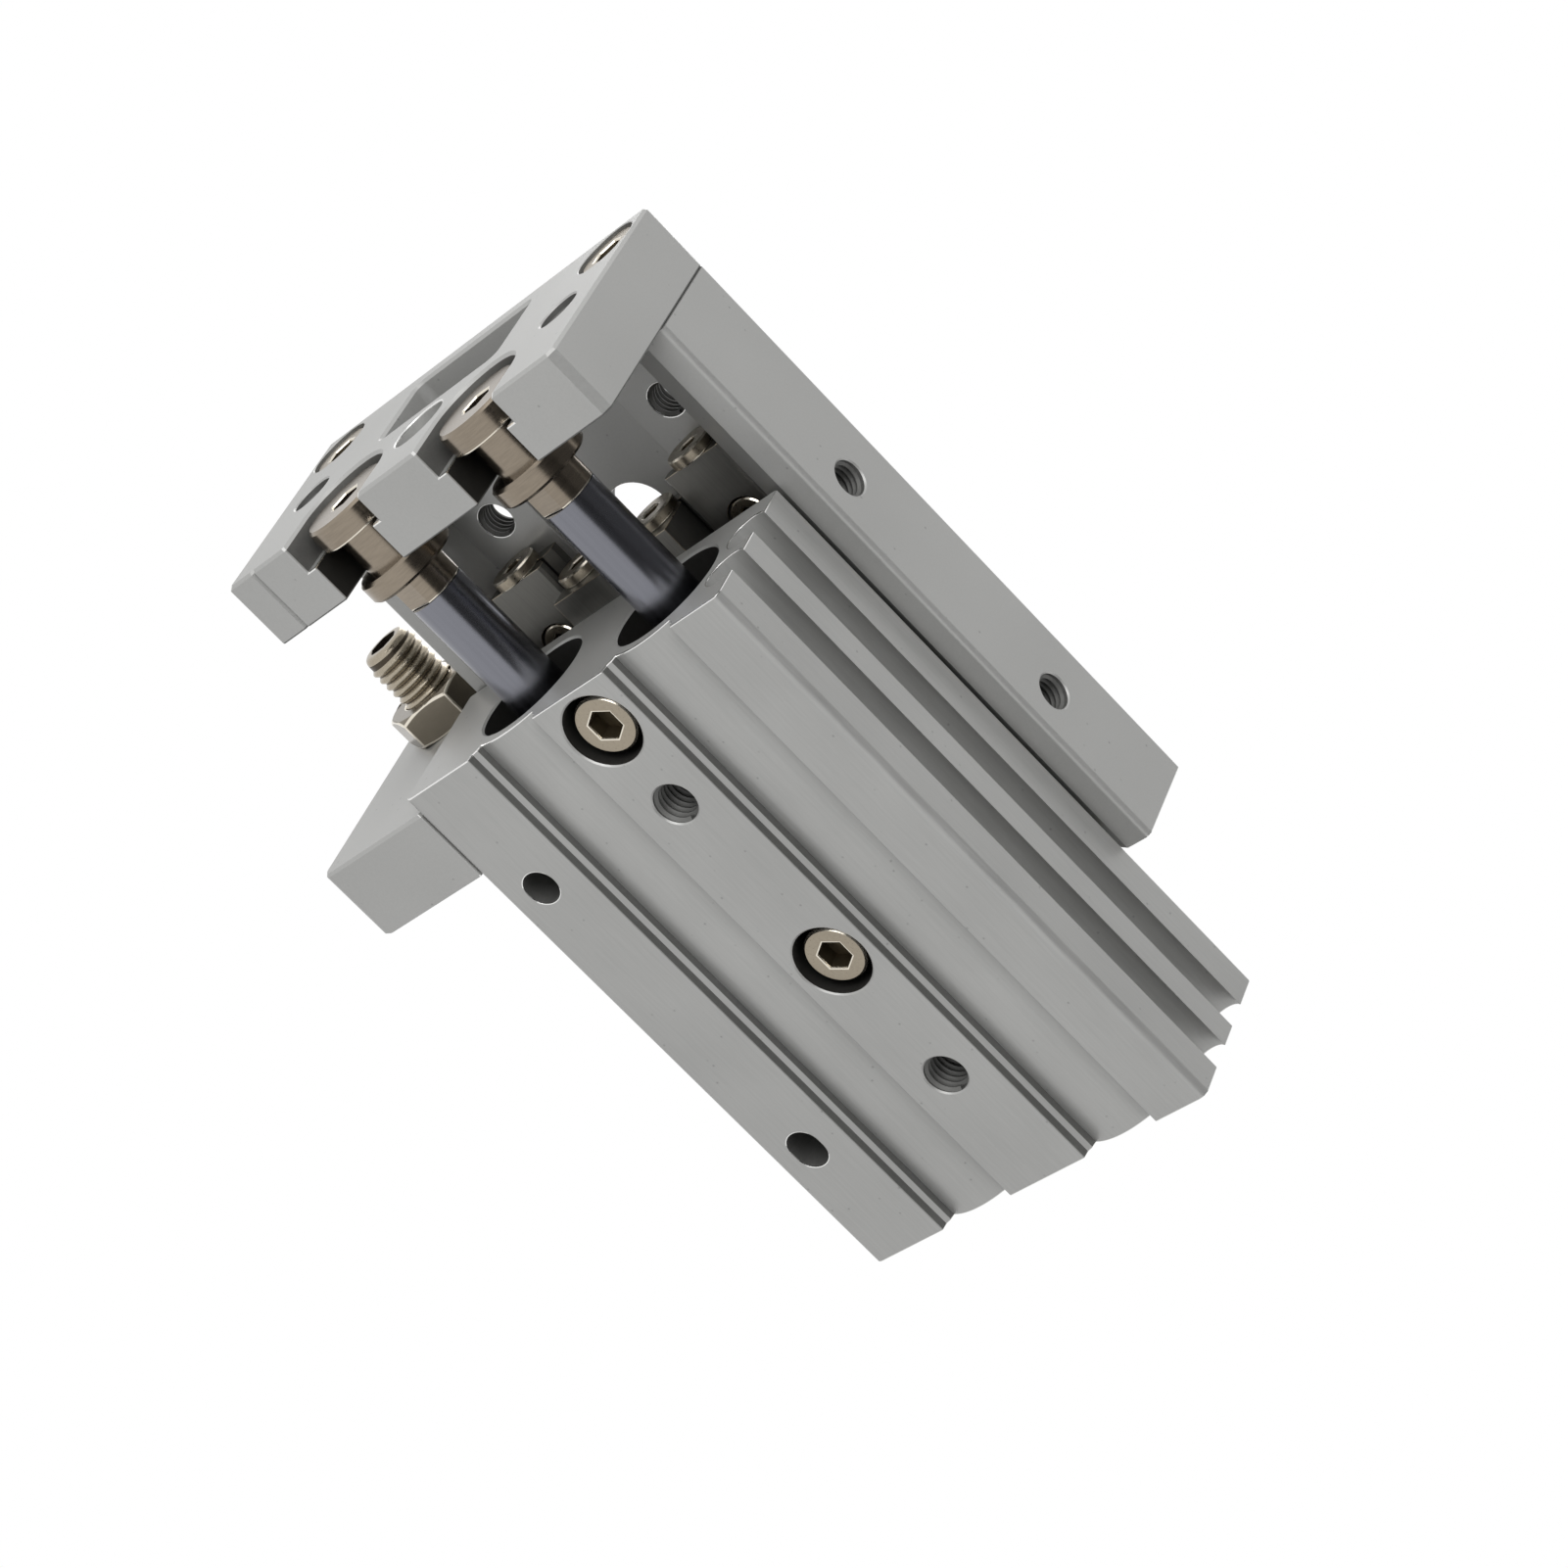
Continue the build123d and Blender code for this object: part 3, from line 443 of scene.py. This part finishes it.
def helix(name, body, slot, material, axis, at, r_wall, r_tip, pitch, start, length, steps=36):
    """Rounded thread ridge wound along an axis from start over a length."""
    bm = bmesh.new()
    ring = [bm.verts.new((start + along * pitch, 0, r_wall + (r_tip - r_wall) * out))
            for along, out in ((-0.47, 0), (-0.26, 0.6), (-0.1, 1), (0.1, 1), (0.26, 0.6), (0.47, 0))]
    profile = bm.faces.new(ring)
    turns = length / pitch
    count = int(round(steps * turns))
    bmesh.ops.spin(bm, geom=[profile] + list(profile.edges) + list(profile.verts), cent=(0, 0, 0),
                   axis=(1, 0, 0), dvec=(length / count, 0, 0), angle=2 * math.pi * turns, steps=count,
                   use_merge=False, use_normal_flip=False, use_duplicate=False)
    turn = {"x": Matrix.Identity(4), "y": Matrix.Rotation(math.pi / 2, 4, "Z"),
            "z": Matrix.Rotation(-math.pi / 2, 4, "Y")}[axis]
    bmesh.ops.transform(bm, matrix=Matrix.Translation(at) @ turn, verts=bm.verts)
    bmesh.ops.recalc_face_normals(bm, faces=bm.faces)
    smooth(bm, 50)
    return publish(name, bm, body, slot, material)


def tapped(name, body, slot, axis, at, thread, start, length):
    """Thread of a tapped hole, with its place, start and length in millimetres."""
    wall, crest = THREAD_RADII[thread]
    pitch = sizes().port_pitch if thread == "M5" else sizes().mount_pitch
    helix(name, body, slot, painted_recess_shade(), axis, tuple(c * MM for c in at), wall * MM, crest * MM, pitch,
          start * MM, length * MM)


class PieceOperator:
    """Shared settings of the operators that make one piece or one group of pieces."""

    bl_options = {"REGISTER", "UNDO"}

    def execute(self, context):
        self.make()
        return {"FINISHED"}


class SLIDETABLE_OT_body(PieceOperator, bpy.types.Operator):
    """Cylinder body with its broken edges and the threads of its ports and mounting holes"""

    bl_idname = "slide_table.body"
    bl_label = "Cylinder body"

    def make(self):
        drilled = [("z", x, 0, 3.0, 0.25, 22.6) for x in MOUNT_X]
        drilled += [("z", x, -26, 3.0, 0.1, 5.1) for x in MOUNT_X]
        drilled += [("y", x, BORE_Z, 2.5, -31.9, -25.9) for x in PORT_X]
        gaps = [("x", y, BORE_Z, 8.75, 20, 44.2) for y in (-BORE_Y, BORE_Y)]
        gaps += [("x", y, BORE_Z, 8.75, -44.2, -30) for y in (-BORE_Y, BORE_Y)]
        gaps += [("z", x, 0, 5.3, 0.15, 22.6) for x in BLOCK_SCREW_X]
        dressed("body", sizes().edge, extruded(), cut_edge(),
                ((painted_recess_shade(), drilled), (shaded_wall(), gaps)), shape=self.step_walls, milled=True)
        for i, x in enumerate(MOUNT_X):
            tapped(f"mount_thread_{i}", "base", "anodised_body", "z", (x, 0, 0), "M6", 0.7, 21.4)
        for i, x in enumerate(PORT_X):
            tapped(f"port_thread_{i}", "base", "anodised_body", "y", (x, -32, BORE_Z), "M5", 0.5, 5.0)

    def step_walls(self, bm):
        """Cuts each leaning strip wall into a steep wall, a narrow ledge and a small step."""
        def found():
            return [f for f in bm.faces if abs(f.normal.x) < 0.01 and abs(f.normal.y) > 0.52
                    and all(-0.05 * MM < v.co.z < 2.45 * MM and abs(abs(v.co.y) - BORE_Y * MM) < 6.9 * MM
                            for v in f.verts)]
        levels = {1.15: 1.0, 1.6: -0.25}
        for level in levels:
            parts = list({g for f in found() for g in (f, *f.edges, *f.verts)})
            bmesh.ops.bisect_plane(bm, geom=parts, dist=0.001 * MM, plane_co=(0, 0, level * MM),
                                   plane_no=(0, 0, 1))
        away = {v: math.copysign(1, abs(v.co.y) - BORE_Y * MM) * math.copysign(1, v.co.y)
                for f in found() for v in f.verts}
        for vert, side in away.items():
            for level, share in levels.items():
                if abs(vert.co.z - level * MM) < 0.01 * MM:
                    vert.co.y += side * share * sizes().wall_step
        bm.normal_update()
        # The steep faces returned here are painted with the darker wall finish: painted shade
        return {f for f in found() if abs(f.normal.y) > 0.85}


class SLIDETABLE_OT_guide(PieceOperator, bpy.types.Operator):
    """Guide block, rails, roller cages and rollers"""

    bl_idname = "slide_table.guide"
    bl_label = "Crossed-roller guide"

    def make(self):
        # Broken edges of the guide steel take the paler nickel finish: a painted highlight
        dressed("guide_block", sizes().fine_edge, guide_steel(), nickel())
        for side in SIDES:
            dressed("rail_" + side, sizes().fine_edge, guide_steel(), nickel())
            plain("cage_" + side, resin())
            plain("rollers_" + side, chrome())


class SLIDETABLE_OT_table(PieceOperator, bpy.types.Operator):
    """Moving table with its threads"""

    bl_idname = "slide_table.table"
    bl_label = "Moving table"

    def make(self):
        rows = [(x, s * 16.85) for x in (58.9, 20.9, -17.1) for s in (-1, 1)]
        drilled = [("z", x, y, 2.5, 33.6, 38.0) for x, y in rows]
        drilled += [("z", x, 0, 4.5, 35.1, 38.0) for x in (-1.5, 48.5)]
        drilled += [("y", x, 30, 2.5, 23.7, 31.6) for x in SIDE_THREAD_X]
        dressed("table", sizes().edge, anodised(), cut_edge(), ((painted_recess_shade(), drilled),), PLATE_BACK, milled=True)
        for i, (x, y) in enumerate(rows):
            tapped(f"top_thread_{i}", "table_group", "anodised_table", "z", (x, y, 33.5), "M5", 0.5, 3.6)
        for i, x in enumerate(SIDE_THREAD_X):
            tapped(f"side_thread_{i}", "table_group", "anodised_table", "y", (x, 23.8, 30), "M5", 0.6, 6.6)


class SLIDETABLE_OT_end_plate(PieceOperator, bpy.types.Operator):
    """End plate with its threads"""

    bl_idname = "slide_table.end_plate"
    bl_label = "End plate"

    def make(self):
        drilled = [("x", s * 24.5, 20.6, 3.0, 69.1, 78.75) for s in (-1, 1)]
        drilled += [("x", s * 26.65, 33.05, 4.5, 73, 78.85) for s in (-1, 1)]
        drilled += [("x", s * BORE_Y, BORE_Z, 7.2, 74.75, 78.9, "arch") for s in (-1, 1)]
        necks = [("x", s * BORE_Y, BORE_Z, 5.75, 69.1, 74.6, "arch") for s in (-1, 1)]
        dressed("end_plate", sizes().plate_edge, anodised(), cut_edge(),
                ((painted_recess_shade(), drilled), (shaded_wall(), necks)), PLATE_BACK, milled=True)
        for i, s in enumerate((-1, 1)):
            tapped(f"plate_thread_{i}", "table_group", "anodised_plate", "x", (PLATE_BACK, s * 24.5, 20.6),
                   "M6", 0.6, 8.6)


class SLIDETABLE_OT_rods(PieceOperator, bpy.types.Operator):
    """Rods and rod ends"""

    bl_idname = "slide_table.rods"
    bl_label = "Rods and rod ends"

    def make(self):
        for side in SIDES:
            plain("rod_" + side, chrome())
            dressed("rod_end_" + side, sizes().head_edge, plated(), rim())


class SLIDETABLE_OT_cylinders(PieceOperator, bpy.types.Operator):
    """Plugs, rings, seals and pistons inside the bores"""

    bl_idname = "slide_table.cylinders"
    bl_label = "Cylinder inner parts"

    def make(self):
        for side in SIDES:
            for kind in ("rod_cover", "head_cap"):
                dressed(f"{kind}_{side}", sizes().fine_edge, dark_metal(), dark_metal())
            for kind in ("cover_ring", "cap_ring"):
                # Broken edges of the rings take the paler nickel finish: a painted highlight
                dressed(f"{kind}_{side}", sizes().fine_edge, guide_steel(), nickel())
            for kind in ("rod_seal", "cover_oring", "cap_oring", "piston_seal"):
                plain(f"{kind}_{side}", rubber())
            plain("piston_" + side, anodised())
            plain("magnet_holder_" + side, anodised())
            plain("piston_magnet_" + side, resin())


class SLIDETABLE_OT_screws(PieceOperator, bpy.types.Operator):
    """All socket head screws"""

    bl_idname = "slide_table.screws"
    bl_label = "Socket head screws"

    def make(self):
        sockets = {
            "guide_block_screws": [("z", x, 0, 2.4, 1.3, 5) for x in BLOCK_SCREW_X],
            "block_end_screws": [("x", y, 27.8, 1.5, a, b) for y in (-7.15, 7.15)
                                 for a, b in ((48.5, 49.8), (-41.0, -39.6))],
            "rail_screws": [("z", x, y, 1.5, 27.7, 29.6) for y in (-18.2, 18.2) for x in (42, 27, 12, -3)],
            "rail_end_screws": [("x", y, 29.9, 1.5, a, b) for y in (-17.25, 17.25)
                                for a, b in ((52.4, 53.7), (-19.0, -17.6))],
            "end_plate_screws": [("x", y, 33.05, 2.4, 75.5, 78.5) for y in (-26.65, 26.65)],
            "bracket_screws": [("y", 36.25, z, 2.4, -52.1, -49) for z in BRACKET_SCREW_Z],
            "stop_block_screws": [("y", x, 31, 1.5, -47.8, -45) for x in STOP_SCREW_X],
        }
        for kind, holes in sockets.items():
            dressed(kind, sizes().head_edge, nickel(), rim(), ((socket_shade(), holes),), cone=holes[0][0])


class SLIDETABLE_OT_adjuster(PieceOperator, bpy.types.Operator):
    """Stroke adjuster: bracket, threaded screw, lock nut, bumper and stop block"""

    bl_idname = "slide_table.adjuster"
    bl_label = "Stroke adjuster"

    def make(self):
        holes = [("y", 36.25, z, 4.5, -52.5, -46) for z in BRACKET_SCREW_Z]
        dressed("adjuster_bracket", sizes().edge, anodised(), cut_edge(), ((shaded_wall(), holes),), milled=True)
        holes = [("y", x, 31, 3.75, -48.2, -44) for x in STOP_SCREW_X]
        dressed("stop_block", sizes().edge, anodised(), cut_edge(), ((shaded_wall(), holes),), milled=True)
        dressed("lock_nut", sizes().head_edge, plated_nut(), rim(), cone="x")
        plain("adjuster_bumper", urethane())
        self.screw()

    def screw(self):
        """Core of the adjusting screw with its rolled thread and hexagon socket."""
        low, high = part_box("adjusting_screw")
        core = (high.z - low.z) / 2 - 0.34 * sizes().adjust_pitch
        socket_ring, socket_flat, socket_depth, rounding = 2.2 * MM, 2.0 * MM, 5 * MM, 0.9 * MM
        bm = bmesh.new()
        bmesh.ops.create_cone(bm, cap_ends=True, segments=48, radius1=core, radius2=core,
                              depth=high.x - low.x)
        ends = [f for f in bm.faces if abs(f.normal.z) > 0.9]
        front = max(ends, key=lambda f: f.calc_center_median().z)
        bmesh.ops.transform(bm, matrix=Matrix.Rotation(math.pi / 2, 4, "Y"), verts=bm.verts)
        middle = (low + high) / 2
        bmesh.ops.translate(bm, vec=middle, verts=bm.verts)
        bmesh.ops.inset_region(bm, faces=[front], thickness=core - socket_ring, depth=0)
        bmesh.ops.inset_region(bm, faces=[front], thickness=0, depth=0)
        for v in front.verts:
            offset = v.co - middle
            angle = math.atan2(offset.z, offset.y)
            wedge = (angle % (math.pi / 3)) - math.pi / 6
            reach = socket_flat / math.cos(wedge)
            v.co.y = middle.y + reach * math.cos(angle)
            v.co.z = middle.z + reach * math.sin(angle)
        for face in bmesh.ops.extrude_discrete_faces(bm, faces=[front])["faces"]:
            bmesh.ops.translate(bm, vec=(-socket_depth, 0, 0), verts=face.verts)
        rims = [e for e in bm.edges if all(abs(v.co.x - high.x) < 0.01 * MM and
                                           math.hypot(v.co.y - middle.y, v.co.z - middle.z) > core * 0.99
                                           for v in e.verts)]
        bmesh.ops.bevel(bm, geom=rims, offset=rounding, offset_type="OFFSET", affect="EDGES", segments=4,
                        profile=0.5, material=-1, clamp_overlap=True, loop_slide=True)
        bmesh.ops.recalc_face_normals(bm, faces=bm.faces)
        # Painted shade: all of the core but its outer front end takes the dark thread-root finish
        for face in bm.faces:
            centre = face.calc_center_median()
            reach = math.hypot(centre.y - middle.y, centre.z - middle.z)
            face.material_index = 1 if centre.x > high.x - 1.0 * MM and reach > socket_ring else 0
        smooth(bm, 30)
        obj = publish("adjusting_screw_core", bm, "adjuster_screw", "black_steel", thread_root(), thread_steel())
        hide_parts("adjusting_screw")
        pitch = sizes().adjust_pitch
        helix("adjusting_screw_thread", "adjuster_screw", "black_steel", thread_steel(), "x",
              (low.x, middle.y, middle.z), core - 0.05 * MM, (high.z - low.z) / 2 - 0.02 * MM, pitch,
              pitch * 0.6, high.x - low.x - pitch * 1.6)


class SLIDETABLE_OT_stage(PieceOperator, bpy.types.Operator):
    """Pale floor, soft light, white surroundings and the camera"""

    bl_idname = "slide_table.stage"
    bl_label = "Stage"

    def make(self):
        self.floor()
        self.world()
        self.lamps()
        self.cards()
        self.camera()

    def floor(self):
        bm = bmesh.new()
        bmesh.ops.create_circle(bm, cap_ends=True, segments=96, radius=0.6)
        bmesh.ops.translate(bm, vec=(0, 0, -0.3 * MM), verts=bm.verts)
        obj = mesh_object("floor", bm)
        made, tree = blank("painted_studio_floor")
        # Painted board seen only from above, so that the view from below looks past it
        path = add(tree, "ShaderNodeLightPath")
        shape = add(tree, "ShaderNodeNewGeometry")
        above = add(tree, "ShaderNodeMath", {0: 1.0, 1: (shape, "Backfacing")}, operation="SUBTRACT")
        seen = add(tree, "ShaderNodeMath", {0: (above, "Value"), 1: (path, "Is Camera Ray")},
                   operation="MULTIPLY")
        clear = add(tree, "ShaderNodeBsdfTransparent")
        paint_shader = add(tree, "ShaderNodeBsdfDiffuse", {"Color": (*colours().floor, 1)})
        mix = add(tree, "ShaderNodeMixShader", {0: (seen, "Value"), 1: (clear, "BSDF"), 2: (paint_shader, "BSDF")})
        finish_with(tree, (mix, "Shader"))
        paint(obj, made)

    def world(self):
        world = bpy.data.worlds.new("white_surroundings")
        bpy.context.scene.world = world
        world.use_nodes = True
        tree = world.node_tree
        tree.nodes.clear()
        path = add(tree, "ShaderNodeLightPath")
        one = add(tree, "ShaderNodeMath", {0: (path, "Is Camera Ray"), 1: (path, "Is Transmission Ray")},
                  operation="MAXIMUM")
        seen = add(tree, "ShaderNodeMath", {0: (one, "Value"), 1: (path, "Is Glossy Ray")}, operation="MAXIMUM")
        level = add(tree, "ShaderNodeMapRange", {"Value": (seen, "Value"), "To Min": 0.45, "To Max": 1.0})
        back = add(tree, "ShaderNodeBackground", {"Color": (1, 1, 1, 1), "Strength": (level, "Result")})
        add(tree, "ShaderNodeOutputWorld", {"Surface": (back, "Background")})

    def lamps(self):
        for name, spot, width, power in (("key_lamp", (0.5, 0.35, -0.25), 0.5, 3.0),
                                         ("side_lamp", (-0.5, 0.45, 0.0), 0.6, 0.5),
                                         ("top_lamp", (0.1, -0.2, 0.8), 0.6, 3.0)):
            lamp = bpy.data.lights.new(name, "AREA")
            lamp.size = width
            lamp.energy = power
            obj = placed(name, lamp)
            obj.location = spot
            obj.rotation_euler = (LOOK_AT - Vector(spot)).to_track_quat("-Z", "Y").to_euler()

    def cards(self):
        """Dark cards that only reflections see: they give round metal its dark bands."""
        for name, spot, wide, high, level in (("front_card", (-0.135, 0.512, -0.347), 0.8, 0.47, 0.06),
                                              ("side_card", (-0.135, 0.612, 0.142), 0.9, 0.66, 0.12)):
            bm = bmesh.new()
            bmesh.ops.create_grid(bm, x_segments=1, y_segments=1, size=0.5)
            bmesh.ops.scale(bm, vec=(wide, high, 1), verts=bm.verts)
            obj = mesh_object(name, bm)
            obj.location = spot
            obj.rotation_euler = (LOOK_AT - Vector(spot)).to_track_quat("Z", "Y").to_euler()
            obj.visible_camera = False
            obj.visible_diffuse = False
            obj.visible_shadow = False
            obj.visible_transmission = False
            made, tree = blank(name + "_cloth")
            # Studio cloth of one grey level, seen only in reflections
            finish_with(tree, (add(tree, "ShaderNodeEmission", {"Color": (level, level, level, 1)}), "Emission"))
            paint(obj, made)

    def camera(self):
        data = bpy.data.cameras.new("camera")
        data.lens = 105.2
        data.sensor_width = 36
        data.clip_start = 0.01
        data.clip_end = 20
        obj = placed("camera", data)
        right = Vector((-0.6761, 0.6669, 0.3134)).normalized()
        ahead = Vector((-0.2724, -0.6214, 0.7346)).normalized()
        back = -ahead
        up = back.cross(right).normalized()
        right = up.cross(back).normalized()
        turn = Matrix((right, up, back)).transposed().to_4x4()
        obj.matrix_world = Matrix.Translation(Vector((171.47, 360.87, -409.05)) * MM) @ turn
        bpy.context.scene.camera = obj
        bpy.context.scene.view_settings.view_transform = "Standard"


PIECES = ("body", "guide", "table", "end_plate", "rods", "cylinders", "screws", "adjuster", "stage")


class SLIDETABLE_PT_panel(bpy.types.Panel):
    """Lists the operators and their settings"""

    bl_idname = "SLIDETABLE_PT_panel"
    bl_label = "Slide table"
    bl_space_type = "VIEW_3D"
    bl_region_type = "UI"
    bl_category = "Slide table"

    def draw(self, context):
        for group in (context.scene.slide_table_sizes, context.scene.slide_table_colours):
            for name in group.__annotations__:
                self.layout.prop(group, name)
        for name in PIECES:
            self.layout.operator("slide_table." + name)


CLASSES = (SlideTableSizes, SlideTableColours, SLIDETABLE_OT_body, SLIDETABLE_OT_guide, SLIDETABLE_OT_table,
           SLIDETABLE_OT_end_plate, SLIDETABLE_OT_rods, SLIDETABLE_OT_cylinders, SLIDETABLE_OT_screws,
           SLIDETABLE_OT_adjuster, SLIDETABLE_OT_stage, SLIDETABLE_PT_panel)


def register():
    for cls in CLASSES:
        bpy.utils.register_class(cls)
    bpy.types.Scene.slide_table_sizes = bpy.props.PointerProperty(type=SlideTableSizes)
    bpy.types.Scene.slide_table_colours = bpy.props.PointerProperty(type=SlideTableColours)


def unregister():
    del bpy.types.Scene.slide_table_sizes
    del bpy.types.Scene.slide_table_colours
    for cls in reversed(CLASSES):
        bpy.utils.unregister_class(cls)


def main():
    register()
    for name in PIECES:
        if getattr(bpy.ops.slide_table, name)() != {"FINISHED"}:
            raise RuntimeError(f"{name} did not finish")


if __name__ == "__main__":
    main()
